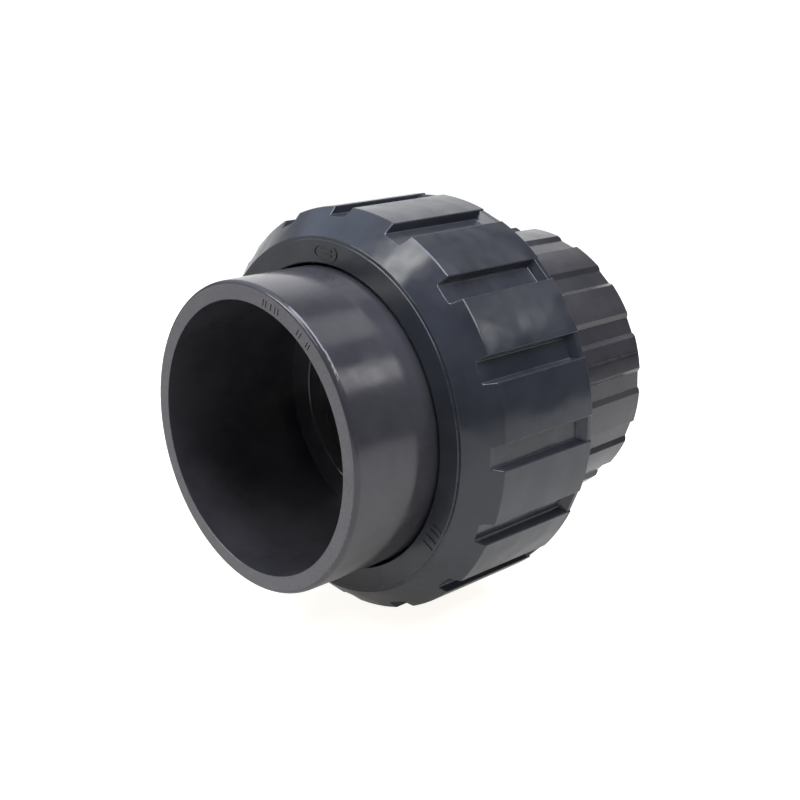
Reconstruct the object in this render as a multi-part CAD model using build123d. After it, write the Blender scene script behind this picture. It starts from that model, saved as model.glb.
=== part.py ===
"""Union fitting for a 63 mm pressure pipe and a two inch parallel pipe thread.

Row frame, millimetres: the pipe axis is X, the plain pipe socket opens at -X, the
threaded socket opens at +X, and +Z is up. The origin is the middle of the fitting's
length on the pipe axis. Inside the functions, "s" is the distance from the front
face of the plain socket, measured along +X.
"""
import os
from math import cos, hypot, radians, sin, tan

from build123d import *

# ---- overall -------------------------------------------------------------
LENGTH = 99.0            # front face of the tail to the back face of the body
HALF = LENGTH / 2

# ---- socket tail ---------------------------------------------------------
PIPE_SOCKET_R = 31.6     # takes a 63 mm pipe
SOCKET_DEPTH = 39.0
FLOW_R = 25.0            # DN 50 waterway
TAIL_R = 35.85           # at the mouth
TAIL_ROOT_R = 36.4       # at the collar; the outside is drafted
TAIL_EDGE = 1.25         # rounding between the front face and the outside
COLLAR_R = 42.4
COLLAR_START = 31.0
TAIL_END = 42.8

# ---- union nut -----------------------------------------------------------
NUT_START = 23.0
NUT_END = 60.4
NUT_HOLE_R = 36.85
FACE_R = 42.4            # outer edge of the raised front face
FACE_STEP = 0.35
CONE_R = 43.0            # where the cone starts
CONE_END = 30.3          # where the cone meets the grip pads
PAD_FRONT_R = 49.2
PAD_BACK_R = 50.0
FLOOR_FRONT_R = 47.1     # floor of a grip pocket at the cone
FLOOR_BACK_R = 47.7
POCKET_END = 57.5        # where the floor stops
POCKET_BACK = 38.0       # degrees, lean of the back wall
RIM_R = 49.6             # flat behind a pocket, lower than the pads beside it
RIM_FILLET = 0.25
POCKET_FILLET = 0.45     # along the floor
POCKET_HALF_WIDTH = 2.45
POCKET_DRAFT = 15.0      # degrees, each side wall
GRIP_COUNT = 16
MOUTH_FILLET = 0.3
REAR_FILLET = 0.2
CHAMBER_R = 43.4
LIP_END = 31.0
MARK_RAISE = 0.2

# ---- union thread between nut and body -----------------------------------
UNION_PITCH = 5.0
BODY_CREST_R = 44.7
BODY_ROOT_R = 42.7
NUT_CREST_R = 43.0
NUT_ROOT_R = 45.0
RIDGE_TIP = 1.5          # axial width of a body ridge at its crest
FLANK = 15.0             # degrees
FLANK_CLEARANCE = 0.15
NUT_THREAD_START = 43.9
NUT_THREAD_END = 58.0

# ---- threaded body -------------------------------------------------------
BODY_START = 43.0
COLLAR_END = 57.0        # back face of the male union thread
RIB_R = 37.75
RIB_VALLEY_R = 36.75
RIB_COUNT = 16
RIB_TOP_HALF = 6.0       # degrees
RIB_FOOT_HALF = 8.05     # degrees
RIB_PHASE = 8.9          # degrees from straight up, towards -Y
RIB_FILLET = 0.25
SEAM_ANGLE = RIB_PHASE + 67.5
END_CHAMFER = 0.5

# ---- G 2 female pipe thread ----------------------------------------------
PIPE_PITCH = 2.309
PIPE_MINOR_R = 28.328
PIPE_MAJOR_R = 29.807
PIPE_THREAD_START = 73.2
RELIEF_START = 70.4
LAND_START = 67.4
PIPE_FLANK = 27.5        # degrees

# ---- face seal -----------------------------------------------------------
SEAL_MEAN_R = 32.6
SEAL_WIDTH = 6.0
GROOVE_WIDTH = 6.4
GROOVE_DEPTH = 4.0


def x_of(s):
    """Row X of a station s."""
    return s - HALF


def rounded_turned(points, radii):
    """Solid of revolution about X from (s, radius) corners, some of them filleted by index."""
    outline = make_face(Polyline(*[(x_of(s), r) for s, r in points], close=True))
    for index, radius in radii.items():
        s, r = points[index]
        corner = outline.vertices().sort_by_distance((x_of(s), r, 0))[0]
        outline = fillet(corner, radius)
    return revolve(outline, Axis.X, 360)


def helix_cutter(pitch, first, last, centre_r, profile, shift):
    """Helical bar about X. profile holds (radius, half axial width) pairs, inner first."""
    path = Helix(pitch, last - first, centre_r)
    plane = Plane(origin=path @ 0, x_dir=(1, 0, 0), z_dir=path % 0)
    upper = [(r - centre_r, w) for r, w in profile]
    lower = [(r - centre_r, -w) for r, w in reversed(profile)]
    section = plane * make_face(Polyline(*upper, *lower, close=True))
    bar = sweep(section, path=path, is_frenet=True)
    return Pos(x_of(first) + shift, 0, 0) * (Rot(0, 90, 0) * bar)


def around(shape, count, phase=0.0):
    """Copies of a shape spaced evenly about X; a positive phase turns it towards -Y."""
    return [Rot(phase + 360.0 * k / count, 0, 0) * shape for k in range(count)]


def ridge_half_width(r):
    """Half the axial width of the body's union ridge at radius r."""
    return RIDGE_TIP / 2 + (BODY_CREST_R - r) * tan(radians(FLANK))


def radius_of(point):
    """Distance of a point from the X axis."""
    return hypot(point.Y, point.Z)


def on_end_face(s, r, angle):
    """Plane on a face that looks towards -X, its x along the circle and its y outwards.

    The angle is in degrees from straight up, towards -Y.
    """
    a = radians(angle)
    outward = Vector(0, -sin(a), cos(a))
    along = Vector(0, -cos(a), -sin(a))
    origin = Vector(x_of(s), 0, 0) + outward * r
    return Plane(origin=origin, x_dir=along, z_dir=along.cross(outward))


def raised_bars(s, r, angle, offsets, length, width):
    """Short plain bars standing on an end face, side by side along the circle."""
    plane = on_end_face(s, r, angle)
    bars = []
    for offset in offsets:
        block = Box(width, length, 2 * MARK_RAISE)
        bars.append(plane * (Pos(offset, 0, 0) * block))
    return bars


# ---- pieces --------------------------------------------------------------
def make_socket_tail():
    """Plain pipe socket with the collar that the nut pulls against the body."""
    tail = rounded_turned(
        [
            (0.0, PIPE_SOCKET_R + 0.1),
            (0.0, TAIL_R),
            (COLLAR_START, TAIL_ROOT_R),
            (COLLAR_START, COLLAR_R),
            (TAIL_END, COLLAR_R),
            (TAIL_END, FLOW_R),
            (SOCKET_DEPTH, FLOW_R),
            (SOCKET_DEPTH, PIPE_SOCKET_R),
            (0.1, PIPE_SOCKET_R),
        ],
        {1: TAIL_EDGE, 2: 0.4, 3: 0.6, 4: 0.5, 6: 0.6},
    )
    tail -= raised_bars(0.0, 33.1, 17.7, (-2.4, -1.5, 0.2, 1.6, 2.6), 1.6, 0.32)
    tail -= raised_bars(0.0, 33.2, 38.0, (-2.2, -1.2, 1.3, 2.1), 1.5, 0.28)
    return tail


def make_nut_blank():
    """Turned shape of the nut: cone, grip drum, lip and chamber."""
    return rounded_turned(
        [
            (NUT_START, NUT_HOLE_R),
            (NUT_START, FACE_R),
            (NUT_START + FACE_STEP, FACE_R),
            (NUT_START + FACE_STEP, CONE_R),
            (CONE_END, PAD_FRONT_R),
            (NUT_END, PAD_BACK_R),
            (NUT_END, NUT_ROOT_R + 0.3),
            (NUT_THREAD_END, NUT_CREST_R),
            (NUT_THREAD_START, NUT_CREST_R),
            (NUT_THREAD_START - 0.7, NUT_ROOT_R + 0.2),
            (NUT_THREAD_START - 3.4, NUT_ROOT_R + 0.2),
            (NUT_THREAD_START - 4.2, CHAMBER_R),
            (LIP_END, CHAMBER_R),
            (LIP_END, NUT_HOLE_R),
        ],
        {0: 0.3, 1: 0.28, 3: 0.4, 4: 0.8, 12: 0.5},
    )


def flat_sided(near, far):
    """Solid between two four-cornered ends whose corners are given in the same order."""
    faces = [Face(Wire.make_polygon(near)), Face(Wire.make_polygon(far))]
    for k in range(4):
        n = (k + 1) % 4
        faces.append(Face(Wire.make_polygon([near[k], near[n], far[n], far[k]])))
    return Solid(Shell(faces))


def floor_radius(s):
    """Distance of the pocket floor from the pipe axis at station s."""
    slope = (FLOOR_BACK_R - FLOOR_FRONT_R) / (POCKET_END - CONE_END)
    return FLOOR_FRONT_R + slope * (s - CONE_END)


def pocket_corner(s, r, side):
    """Corner of a grip pocket on its left (-1) or right (1) wall, for a pocket straight up."""
    half_width = POCKET_HALF_WIDTH + (r - floor_radius(s)) * tan(radians(POCKET_DRAFT))
    return (x_of(s), side * half_width, r)


def box_ends(near, far):
    """Two four-cornered ends from (station, floor radius, top station, top radius)."""
    ends = []
    for floor_s, floor_r, top_s, top_r in (near, far):
        ends.append(
            [
                pocket_corner(floor_s, floor_r, -1),
                pocket_corner(floor_s, floor_r, 1),
                pocket_corner(top_s, top_r, 1),
                pocket_corner(top_s, top_r, -1),
            ]
        )
    return ends


def make_pocket():
    """Cutter for one grip pocket: open at the cone, a leaning back wall, a low rim behind."""
    first = NUT_START - 2.0
    top_r = PAD_BACK_R + 3.0
    low = floor_radius(POCKET_END)
    last = POCKET_END + (top_r - low) * tan(radians(POCKET_BACK))
    near = (first, floor_radius(first), first, top_r)
    pocket = flat_sided(*box_ends(near, (POCKET_END, low, last, top_r)))
    floor = []
    for edge in pocket.edges():
        middle = edge @ 0.5
        low_enough = middle.Z < floor_radius(middle.X + HALF) + 0.01
        if low_enough and middle.X + HALF > first + 1.0:
            floor.append(edge)
    pocket = fillet(floor, POCKET_FILLET)
    start, stop = POCKET_END - 2.0, NUT_END + 2.0
    rim = flat_sided(*box_ends((start, RIM_R, start, top_r), (stop, RIM_R, stop, top_r)))
    pocket = pocket + rim
    brink = []
    for edge in pocket.edges():
        middle = edge @ 0.5
        if abs(middle.Z - RIM_R) < 0.05 and abs(middle.Y) < 0.1 and middle.X + HALF < NUT_END:
            brink.append(edge)
    return fillet(brink, RIM_FILLET)


def skin_radius(s):
    """Outer radius of the nut at station s, pockets left out."""
    if s < CONE_END:
        along = (s - NUT_START - FACE_STEP) / (CONE_END - NUT_START - FACE_STEP)
        return CONE_R + along * (PAD_FRONT_R - CONE_R)
    along = (s - CONE_END) / (NUT_END - CONE_END)
    return PAD_FRONT_R + along * (PAD_BACK_R - PAD_FRONT_R)


def mouth_edges(blank, nut):
    """Edges where the pockets break through the nut's outer skin."""
    found = []
    for edge in new_edges(blank, combined=nut):
        middle = edge @ 0.5
        if abs(radius_of(middle) - skin_radius(middle.X + HALF)) < 0.12:
            found.append(edge)
    return found


def rear_edges(nut):
    """Outer edges of the nut's back face, pads and rims alike."""
    found = []
    for edge in nut.edges():
        middle = edge @ 0.5
        if middle.X + HALF > NUT_END - 0.01 and radius_of(middle) > RIM_R - 0.6:
            found.append(edge)
    return found


def make_union_nut():
    """Nut with sixteen grip pads, pockets between them, and the female union thread."""
    blank = make_nut_blank()
    nut = blank - around(make_pocket(), GRIP_COUNT)
    nut = fillet(mouth_edges(blank, nut), MOUTH_FILLET)
    nut = fillet(rear_edges(nut), REAR_FILLET)
    groove = helix_cutter(
        UNION_PITCH,
        NUT_THREAD_START - 3.0,
        NUT_THREAD_END + 3.5,
        NUT_CREST_R,
        [
            (NUT_CREST_R - 1.0, ridge_half_width(NUT_CREST_R - 1.0) + FLANK_CLEARANCE),
            (NUT_ROOT_R, ridge_half_width(NUT_ROOT_R) + FLANK_CLEARANCE),
        ],
        0.0,
    )
    nut -= groove
    oval = Ellipse(4.0, 2.25) - Ellipse(3.45, 1.7)
    oval += [Pos(0, 0.55) * Rectangle(4.2, 0.5), Pos(0, -0.55) * Rectangle(4.2, 0.5)]
    nut += extrude(on_end_face(NUT_START, 39.5, 2.0) * oval, MARK_RAISE, both=True)
    nut += raised_bars(NUT_START, 40.2, 120.4, (-2.9, -1.4, 0.5, 2.6), 3.0, 0.55)
    return nut


def make_body_blank():
    """Turned shape of the body, before its ribs and threads are cut."""
    inner = SEAL_MEAN_R - GROOVE_WIDTH / 2
    outer = SEAL_MEAN_R + GROOVE_WIDTH / 2
    floor = BODY_START + GROOVE_DEPTH
    return rounded_turned(
        [
            (BODY_START, FLOW_R),
            (BODY_START, inner),
            (floor, inner),
            (floor, outer),
            (BODY_START, outer),
            (BODY_START, BODY_ROOT_R),
            (BODY_START + 1.2, BODY_CREST_R),
            (COLLAR_END - 0.6, BODY_CREST_R),
            (COLLAR_END, BODY_CREST_R - 0.6),
            (COLLAR_END, RIB_R),
            (LENGTH - END_CHAMFER, RIB_R),
            (LENGTH, RIB_R - END_CHAMFER),
            (LENGTH, PIPE_MAJOR_R + 0.25),
            (LENGTH - 1.6, PIPE_MINOR_R),
            (PIPE_THREAD_START, PIPE_MINOR_R),
            (PIPE_THREAD_START - 0.8, PIPE_MAJOR_R + 0.2),
            (RELIEF_START, PIPE_MAJOR_R + 0.2),
            (RELIEF_START, PIPE_MINOR_R),
            (LAND_START, PIPE_MINOR_R),
            (LAND_START, FLOW_R),
        ],
        {0: 0.3, 1: 0.3, 2: 0.4, 3: 0.4, 4: 0.3, 9: 1.0, 18: 0.6, 19: 0.5},
    )


def rib_valley():
    """Cutter for one valley between two ribs, centred straight up."""
    pitch = 360.0 / RIB_COUNT
    half_top = radians(pitch / 2 - RIB_TOP_HALF)
    half_foot = radians(pitch / 2 - RIB_FOOT_HALF)
    slope = (RIB_R * sin(half_top) - RIB_VALLEY_R * sin(half_foot)) / (RIB_R - RIB_VALLEY_R)
    top_r = RIB_R + 1.5
    foot = RIB_VALLEY_R * sin(half_foot)
    top = RIB_R * sin(half_top) + slope * 1.5
    low = RIB_VALLEY_R * cos(half_foot)
    plane = Plane(origin=(x_of(COLLAR_END + 1.4), 0, 0), x_dir=(0, 1, 0), z_dir=(1, 0, 0))
    outline = Polyline((-foot, low), (foot, low), (top, top_r), (-top, top_r), close=True)
    return extrude(plane * make_face(outline), LENGTH - COLLAR_END)


def make_threaded_body():
    """Body with the male union thread, seal groove, grip ribs and female pipe thread."""
    blank = make_body_blank()
    body = blank - around(rib_valley(), RIB_COUNT, RIB_PHASE + 180.0 / RIB_COUNT)
    ridges = []
    for edge in new_edges(blank, combined=body):
        if edge.length > 30 and radius_of(edge @ 0.5) > RIB_R - 0.05:
            ridges.append(edge)
    body = fillet(ridges, RIB_FILLET)
    seam = Box(LENGTH - COLLAR_END - 3.0, 0.45, 0.7)
    seam = Pos(x_of((COLLAR_END + LENGTH) / 2 + 0.5), 0, RIB_R) * seam
    body += [Rot(SEAM_ANGLE, 0, 0) * seam, Rot(SEAM_ANGLE + 180.0, 0, 0) * seam]
    groove_root = UNION_PITCH / 2 - ridge_half_width(BODY_ROOT_R)
    groove_top = UNION_PITCH / 2 - ridge_half_width(BODY_CREST_R + 0.8)
    body -= helix_cutter(
        UNION_PITCH,
        NUT_THREAD_START - 6.0,
        COLLAR_END + 4.0,
        BODY_CREST_R,
        [(BODY_ROOT_R, groove_root), (BODY_CREST_R + 0.8, groove_top)],
        UNION_PITCH / 2 - 2.0,
    )
    tip = 0.2
    mouth = tip + (PIPE_MAJOR_R - PIPE_MINOR_R + 0.12) * tan(radians(PIPE_FLANK))
    body -= helix_cutter(
        PIPE_PITCH,
        PIPE_THREAD_START - 1.6,
        LENGTH + 1.5,
        PIPE_MINOR_R,
        [(PIPE_MINOR_R - 0.12, mouth), (PIPE_MAJOR_R, tip)],
        0.0,
    )
    return body


def make_seal_ring():
    """Rubber ring, squeezed between the groove floor and the tail's end face."""
    floor = BODY_START + GROOVE_DEPTH
    top = TAIL_END
    inner = SEAL_MEAN_R - SEAL_WIDTH / 2
    outer = SEAL_MEAN_R + SEAL_WIDTH / 2
    radius = (floor - top) / 2 - 0.05
    return rounded_turned(
        [(top, inner), (top, outer), (floor, outer), (floor, inner)],
        {0: radius, 1: radius, 2: radius, 3: radius},
    )


PIECES = {
    "threaded_body": make_threaded_body,
    "socket_tail": make_socket_tail,
    "union_nut": make_union_nut,
    "seal_ring": make_seal_ring,
}


def main():
    os.makedirs("parts", exist_ok=True)
    for name, make in PIECES.items():
        shape = make()
        solids = shape.solids()
        print(name, "solids", len(solids), "volume", round(sum(s.volume for s in solids), 1))
        export_step(shape, f"parts/{name}.step")


main()
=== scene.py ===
import math

import bpy
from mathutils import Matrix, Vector


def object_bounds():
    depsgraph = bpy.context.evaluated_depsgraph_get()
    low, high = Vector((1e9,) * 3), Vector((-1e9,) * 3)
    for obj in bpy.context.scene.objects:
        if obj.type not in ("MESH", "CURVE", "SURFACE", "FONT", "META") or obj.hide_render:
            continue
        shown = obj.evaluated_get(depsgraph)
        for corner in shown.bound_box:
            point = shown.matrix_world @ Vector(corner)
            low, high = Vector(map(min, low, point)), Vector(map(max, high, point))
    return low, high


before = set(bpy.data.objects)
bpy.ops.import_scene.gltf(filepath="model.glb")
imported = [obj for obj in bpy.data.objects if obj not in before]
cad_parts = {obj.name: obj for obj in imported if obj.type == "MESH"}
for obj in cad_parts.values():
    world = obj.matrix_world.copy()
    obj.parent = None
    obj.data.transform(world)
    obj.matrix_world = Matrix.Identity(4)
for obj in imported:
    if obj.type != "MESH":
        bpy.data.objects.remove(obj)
bounds_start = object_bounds()

# Lengths are metres in the fitting's frame: X is the pipe axis, socket at -X, +Z is up.

# ---- camera --------------------------------------------------------------
CAMERA_AT = (-0.18677, -0.18709, 0.07603)
CAMERA_TURN = (73.733, 0.472, -44.832)
LENS_MM = 48.745
SENSOR_MM = 36.0
NEAREST = 0.01

# ---- plastics and rubber -------------------------------------------------
# Colours are linear.
TAIL_GREY = (0.040, 0.039, 0.046)
BODY_GREY = (0.034, 0.033, 0.037)
NUT_BLUE = (0.0215, 0.0240, 0.0315)
RUBBER_BLACK = (0.012, 0.012, 0.012)
RUBBER_DUST = (0.03, 0.03, 0.03)
# Painted light: the tail's front face gets this paler colour for the floor's light falling on it.
LIT_FACE_PAINT = (0.094, 0.091, 0.101)

PLASTIC_IOR = 1.52
RUBBER_ROUGHNESS = 0.62

# How much roughness each of these adds where it is at its fullest.
SWIRL_DULLING = 0.10
FACE_DULLING = 0.22
EDGE_DULLING = 0.08

# Share of the painted highlight colour on a sharp edge where that highlight is at its fullest.
EDGE_HIGHLIGHT_SHARE = 0.5

# Darkest and palest part of a variation: factor on the colour, and what is added to it.
CLOUD_SHADES = ((0.86, 0.0), (1.22, 0.003))
SPECKLE_SHADES = ((0.82, 0.0), (1.20, 0.0))
# The sharp-edge colour below is a painted highlight: the plastic's own colour made paler.
EDGE_HIGHLIGHT_SHADE = (2.2, 0.01)

# Noise patterns: scale, detail, roughness, and the two values its ramp runs between.
CLOUD = (55.0, 4.0, 0.6, 0.3, 0.7)
SWIRL = (130.0, 4.0, 0.6, 0.35, 0.65)
SPECKLE = (2600.0, 2.0, 0.6, 0.3, 0.7)
# Patches along sharp edges where the painted highlight shows.
EDGE_HIGHLIGHT_PATCH = (180.0, 3.0, 0.6, 0.40, 0.62)
DUST = (300.0, 4.0, 0.7, 0.5, 0.75)

# Noise under a bump: scale, detail, roughness. The waves' scale is each plastic's own.
WAVE_DETAIL = (2.0, 0.5)
GRAIN = (1500.0, 2.0, 0.6)
RUBBER_GRAIN = (2200.0, 3.0, 0.6)

# The tail's front face is painted paler than its sides, as painted light for the floor's light on that
# face, to this depth behind the face.
FACE_SKIN = 0.00001
FACE_FADE = 0.00008

# A sharp edge gets a painted highlight when it is sharper than this radius. The cosine between the true
# and the eased normal runs from the edge cosine at such an edge to OPEN_COSINE on an open face.
EDGE_RADIUS = 0.0003
EDGE_SAMPLES = 4
EDGE_COSINE = 0.93
OPEN_COSINE = 0.995

# Height of a bump, and its strength where that is the same on every plastic.
WAVE_HEIGHT = 0.001
GRAIN_HEIGHT = 0.00004
GRAIN_STRENGTH = 0.12
RUBBER_GRAIN_HEIGHT = 0.00005
RUBBER_GRAIN_STRENGTH = 0.3

# ---- floor ---------------------------------------------------------------
FLOOR_RADIUS = 0.9
FLOOR_SIDES = 96
FLOOR_FADE = (0.5, 0.85)
FLOOR_PAINT = (0.5, 0.49, 0.455, 1.0)
FLOOR_TINT = (1.0, 0.975, 0.93, 1.0)
FLOOR_SEEN = 0.95
# A brighter pool under the fitting, for reflections in its lower side.
POOL_CENTRE = (0.05, -0.02, 0.0)
POOL_EDGE = (0.10, 0.18)
POOL_GLOW = (0.27, 0.14)

# ---- lights and room -----------------------------------------------------
WHITE = (1.0, 1.0, 1.0, 1.0)
SOFTBOX_WHITE = (1.0, 1.0, 1.0)
SOFTBOX_SKY = (0.93, 0.97, 1.12)
ROOM_SKY = (0.84, 0.97, 1.22, 1.0)
ROOM_SEEN = 1.05
ROOM_DIM = 0.045

# Each softbox: direction from the fitting, distance, width and height, radiance, tint.
SOFTBOXES = {
    "overhead": ((0.0, -0.25, 0.97), 0.8, (0.45, 0.75), 7.8, SOFTBOX_SKY),
    "key": ((-0.41, 0.07, 0.91), 0.75, (0.16, 0.16), 9.0, SOFTBOX_WHITE),
    "front_strip": ((-0.02, -0.70, 0.69), 0.6, (0.40, 0.09), 7.4, SOFTBOX_WHITE),
    "left_strip": ((-0.72, 0.24, 0.62), 0.7, (0.50, 0.08), 9.0, SOFTBOX_WHITE),
}

# Each patch of the room: axis, degrees of even light, degrees where it ends, radiance.
BACK_SWEEP = ((0.74, 0.61, 0.12), 20, 46, 1.15)
LEFT_SWEEP = ((-0.64, 0.76, -0.1), 15, 40, 0.84)
HIGH_PATCH = ((0.58, -0.08, 0.81), 8, 13, 1.0)
SIDE_LAMP = ((0.635, -0.56, 0.53), 3, 8, 3.5)
SIDE_SPILL = ((0.72, -0.36, 0.59), 2, 6, 0.9)
TOP_LAMP = ((-0.60, 0.30, 0.74), 7, 12, 6.3)
BLUE_SKY = ((-0.12, 0.66, 0.74), 14, 34, 0.9)


def make_camera():
    data = bpy.data.cameras.new("camera")
    data.lens = LENS_MM
    data.sensor_width = SENSOR_MM
    data.clip_start = NEAREST
    camera = bpy.data.objects.new("camera", data)
    camera.location = CAMERA_AT
    camera.rotation_euler = [math.radians(a) for a in CAMERA_TURN]
    bpy.context.scene.collection.objects.link(camera)
    bpy.context.scene.camera = camera


# ---- node helpers --------------------------------------------------------
def blank_tree(owner):
    owner.use_nodes = True
    tree = owner.node_tree
    tree.nodes.clear()
    return tree


def node(tree, kind, inputs=None, **settings):
    """Add a node; each input is either a value or the socket to link to it."""
    made = tree.nodes.new(kind)
    for name, value in settings.items():
        setattr(made, name, value)
    for name, value in (inputs or {}).items():
        socket = made.inputs[name]
        if isinstance(value, bpy.types.NodeSocket):
            tree.links.new(value, socket)
        else:
            socket.default_value = value
    return made


def maths(tree, operation, a, b):
    return node(tree, "ShaderNodeMath", {0: a, 1: b}, operation=operation).outputs[0]


def add_scaled(tree, base, amount, scale):
    """base + amount * scale."""
    return maths(tree, "ADD", base, maths(tree, "MULTIPLY", amount, scale))


def ramp(tree, value, low, high, to_low=0.0, to_high=1.0):
    """Smooth step from to_low at low to to_high at high."""
    inputs = {"Value": value, "From Min": low, "From Max": high, "To Min": to_low, "To Max": to_high}
    return node(tree, "ShaderNodeMapRange", inputs, interpolation_type="SMOOTHSTEP").outputs[0]


def noise(tree, place, scale, detail, roughness):
    inputs = {"Vector": place, "Scale": scale, "Detail": detail, "Roughness": roughness}
    return node(tree, "ShaderNodeTexNoise", inputs).outputs["Fac"]


def pattern(tree, place, scale, detail, roughness, low, high):
    """Noise stretched to run from 0 to 1."""
    return ramp(tree, noise(tree, place, scale, detail, roughness), low, high)


def blend(tree, amount, a, b):
    """Colour a where amount is 0 and colour b where it is 1; each is a tuple or a socket."""
    colours = [(*c, 1.0) if isinstance(c, tuple) else c for c in (a, b)]
    inputs = {0: amount, 6: colours[0], 7: colours[1]}
    return node(tree, "ShaderNodeMix", inputs, data_type="RGBA").outputs[2]


def bump(tree, height, strength, distance, under=None):
    inputs = {"Height": height, "Strength": strength, "Distance": distance}
    if under is not None:
        inputs["Normal"] = under
    return node(tree, "ShaderNodeBump", inputs).outputs[0]


def principled(tree, tint, roughness, normal, **more):
    inputs = {"Base Color": tint, "Roughness": roughness, "Normal": normal, **more}
    shader = node(tree, "ShaderNodeBsdfPrincipled", inputs)
    node(tree, "ShaderNodeOutputMaterial", {"Surface": shader.outputs[0]})


def shade(colour, factor, lift):
    return tuple(factor * c + lift for c in colour)


def shades(colour, pair):
    return [shade(colour, *each) for each in pair]


# ---- surfaces ------------------------------------------------------------
def painted_edge_highlight(tree, place):
    """Patchy mask for a painted highlight: 1 on sharp edges and 0 on open faces."""
    true_normal = node(tree, "ShaderNodeNewGeometry").outputs["Normal"]
    bevel = node(tree, "ShaderNodeBevel", {"Radius": EDGE_RADIUS}, samples=EDGE_SAMPLES)
    eased = bevel.outputs["Normal"]
    dot = node(tree, "ShaderNodeVectorMath", {0: true_normal, 1: eased}, operation="DOT_PRODUCT")
    edge = ramp(tree, dot.outputs["Value"], EDGE_COSINE, OPEN_COSINE, 1.0, 0.0)
    return maths(tree, "MULTIPLY", edge, pattern(tree, place, *EDGE_HIGHLIGHT_PATCH))


def face_mask(tree, place):
    """1 on the tail's front face, which is the fitting's end at -X, and 0 behind it."""
    face = bounds_start[0][0] + FACE_SKIN
    x = node(tree, "ShaderNodeSeparateXYZ", {"Vector": place}).outputs[0]
    return ramp(tree, x, face, face + FACE_FADE, 1.0, 0.0)


def plastic(name, colour, middle, wave, ripple, paint_lit_face=False):
    """Moulded plastic: slow swirls in colour and gloss, orange peel, a painted highlight on sharp
    edges.

    middle is the middle of the roughness; wave and ripple are the waves' scale and strength.
    """
    material = bpy.data.materials.new(name)
    tree = blank_tree(material)
    place = node(tree, "ShaderNodeTexCoord").outputs["Object"]

    tint = blend(tree, pattern(tree, place, *CLOUD), *shades(colour, CLOUD_SHADES))
    swirl = pattern(tree, place, *SWIRL)
    roughness = add_scaled(tree, middle - SWIRL_DULLING / 2, swirl, SWIRL_DULLING)

    # Painted light: the front face is painted paler, with a speckle, for the floor's light on it; it is
    # also made duller.
    if paint_lit_face:
        face = face_mask(tree, place)
        speckle = pattern(tree, place, *SPECKLE)
        lit_face_colour = blend(tree, speckle, *shades(LIT_FACE_PAINT, SPECKLE_SHADES))
        tint = blend(tree, face, tint, lit_face_colour)
        roughness = add_scaled(tree, roughness, face, FACE_DULLING)

    # Painted highlight: sharp edges are painted paler in patches, and they are also made a little
    # duller.
    edge_highlight = painted_edge_highlight(tree, place)
    highlight_tint = shade(colour, *EDGE_HIGHLIGHT_SHADE)
    tint = blend(tree, maths(tree, "MULTIPLY", edge_highlight, EDGE_HIGHLIGHT_SHARE), tint, highlight_tint)
    roughness = add_scaled(tree, roughness, edge_highlight, EDGE_DULLING)

    waves = bump(tree, noise(tree, place, wave, *WAVE_DETAIL), ripple, WAVE_HEIGHT)
    grain = bump(tree, noise(tree, place, *GRAIN), GRAIN_STRENGTH, GRAIN_HEIGHT, waves)
    principled(tree, tint, roughness, grain, IOR=PLASTIC_IOR)
    return material


def rubber(name):
    """Black rubber with a fine grain and a little dust."""
    material = bpy.data.materials.new(name)
    tree = blank_tree(material)
    place = node(tree, "ShaderNodeTexCoord").outputs["Object"]
    tint = blend(tree, pattern(tree, place, *DUST), RUBBER_BLACK, RUBBER_DUST)
    height = noise(tree, place, *RUBBER_GRAIN)
    grain = bump(tree, height, RUBBER_GRAIN_STRENGTH, RUBBER_GRAIN_HEIGHT)
    principled(tree, tint, RUBBER_ROUGHNESS, grain)
    return material


def dress(name, material):
    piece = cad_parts[name]
    piece.data.materials.clear()
    piece.data.materials.append(material)


# ---- floor, light and surroundings ---------------------------------------
def make_floor():
    """Pale floor that fades out at its rim and glows a little, so no shadow looks dark."""
    bpy.ops.mesh.primitive_circle_add(
        vertices=FLOOR_SIDES, radius=FLOOR_RADIUS, fill_type="NGON", location=(0, 0, bounds_start[0][2])
    )
    floor = bpy.context.object
    floor.name = "floor"
    material = bpy.data.materials.new("floor_paint")
    tree = blank_tree(material)
    place = node(tree, "ShaderNodeTexCoord").outputs["Object"]

    away = node(tree, "ShaderNodeVectorMath", {0: place}, operation="LENGTH").outputs["Value"]
    solid = ramp(tree, away, *FLOOR_FADE, 1.0, 0.0)
    off_centre = node(tree, "ShaderNodeVectorMath", {0: place, 1: POOL_CENTRE}, operation="DISTANCE")
    pool = ramp(tree, off_centre.outputs["Value"], *POOL_EDGE, *POOL_GLOW)
    eye = node(tree, "ShaderNodeLightPath").outputs["Is Camera Ray"]
    strength = ramp(tree, eye, 0.0, 1.0, pool, FLOOR_SEEN)

    paint = node(tree, "ShaderNodeBsdfDiffuse", {"Color": FLOOR_PAINT})
    glow = node(tree, "ShaderNodeEmission", {"Color": FLOOR_TINT, "Strength": strength})
    lit = node(tree, "ShaderNodeAddShader", {0: paint.outputs[0], 1: glow.outputs[0]})
    clear = node(tree, "ShaderNodeBsdfTransparent")
    mixed = node(tree, "ShaderNodeMixShader", {0: solid, 1: clear.outputs[0], 2: lit.outputs[0]})
    node(tree, "ShaderNodeOutputMaterial", {"Surface": mixed.outputs[0]})
    floor.data.materials.append(material)


def softbox(name, towards, distance, size, radiance, tint):
    """Rectangular area light of an even radiance, aimed at the fitting."""
    data = bpy.data.lights.new(name, "AREA")
    data.shape = "RECTANGLE"
    data.color = tint
    data.size, data.size_y = size
    data.energy = radiance * math.pi * size[0] * size[1]
    light = bpy.data.objects.new(name, data)
    light.location = Vector(towards).normalized() * distance
    light.rotation_euler = (-Vector(towards)).to_track_quat("-Z", "Y").to_euler()
    light.visible_camera = False
    bpy.context.scene.collection.objects.link(light)


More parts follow.
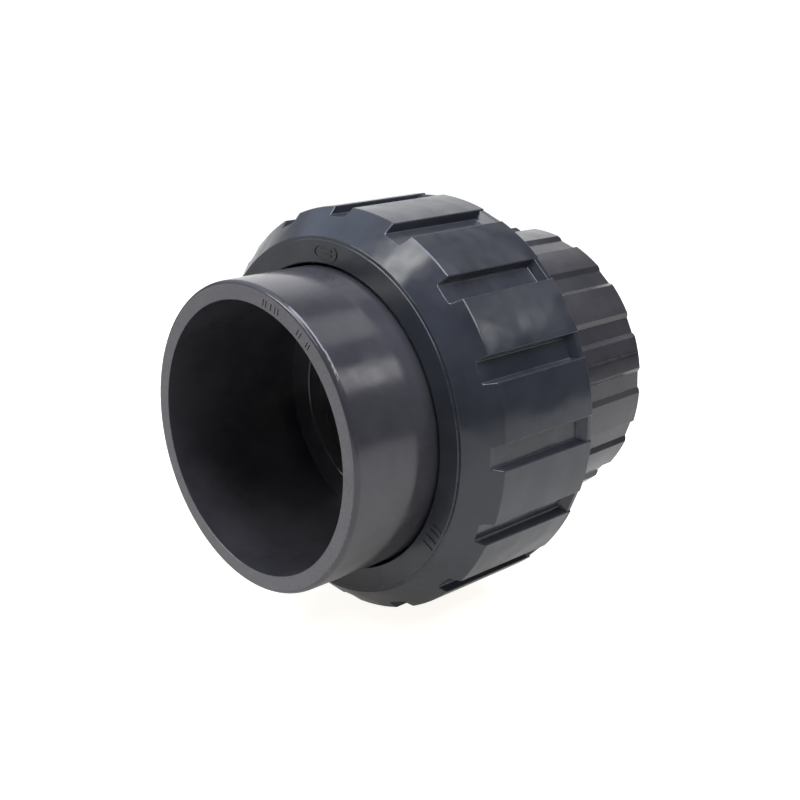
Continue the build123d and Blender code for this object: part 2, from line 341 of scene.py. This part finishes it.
def patch_of_light(tree, direction, axis, full, none, radiance):
    """Radiance that is even within `full` degrees of an axis and gone at `none` degrees."""
    unit = tuple(Vector(axis).normalized())
    dot = node(tree, "ShaderNodeVectorMath", {0: direction, 1: unit}, operation="DOT_PRODUCT")
    inner, outer = math.cos(math.radians(full)), math.cos(math.radians(none))
    return ramp(tree, dot.outputs["Value"], outer, inner, 0.0, radiance)


def background(tree, colour, strength):
    return node(tree, "ShaderNodeBackground", {"Color": colour, "Strength": strength}).outputs[0]


def make_world():
    """White to the eye; in reflections a dim room with bright patches on its walls."""
    world = bpy.data.worlds.new("world")
    bpy.context.scene.world = world
    tree = blank_tree(world)
    direction = node(tree, "ShaderNodeTexCoord").outputs["Generated"]

    brightest = 0.0
    for patch in (BACK_SWEEP, LEFT_SWEEP, HIGH_PATCH, SIDE_LAMP, SIDE_SPILL):
        brightest = maths(tree, "MAXIMUM", brightest, patch_of_light(tree, direction, *patch))
    room = maths(tree, "ADD", brightest, ROOM_DIM)
    room = maths(tree, "ADD", room, patch_of_light(tree, direction, *TOP_LAMP))
    sky = patch_of_light(tree, direction, *BLUE_SKY)

    around = {0: background(tree, WHITE, room), 1: background(tree, ROOM_SKY, sky)}
    reflected = node(tree, "ShaderNodeAddShader", around).outputs[0]
    eye = node(tree, "ShaderNodeLightPath").outputs["Is Camera Ray"]
    choice = {0: eye, 1: reflected, 2: background(tree, WHITE, ROOM_SEEN)}
    mixed = node(tree, "ShaderNodeMixShader", choice)
    node(tree, "ShaderNodeOutputWorld", {"Surface": mixed.outputs[0]})


body_plastic = plastic("body_plastic", BODY_GREY, middle=0.21, wave=90.0, ripple=0.10)
tail_plastic = plastic("tail_plastic", TAIL_GREY, middle=0.18, wave=45.0, ripple=0.16, paint_lit_face=True)
nut_plastic = plastic("nut_plastic", NUT_BLUE, middle=0.22, wave=60.0, ripple=0.60)
dress("threaded_body", body_plastic)
dress("socket_tail", tail_plastic)
dress("union_nut", nut_plastic)
dress("seal_ring", rubber("seal_rubber"))

make_camera()
make_floor()
make_world()
for name, settings in SOFTBOXES.items():
    softbox(name, *settings)
bpy.context.scene.view_settings.view_transform = "Standard"
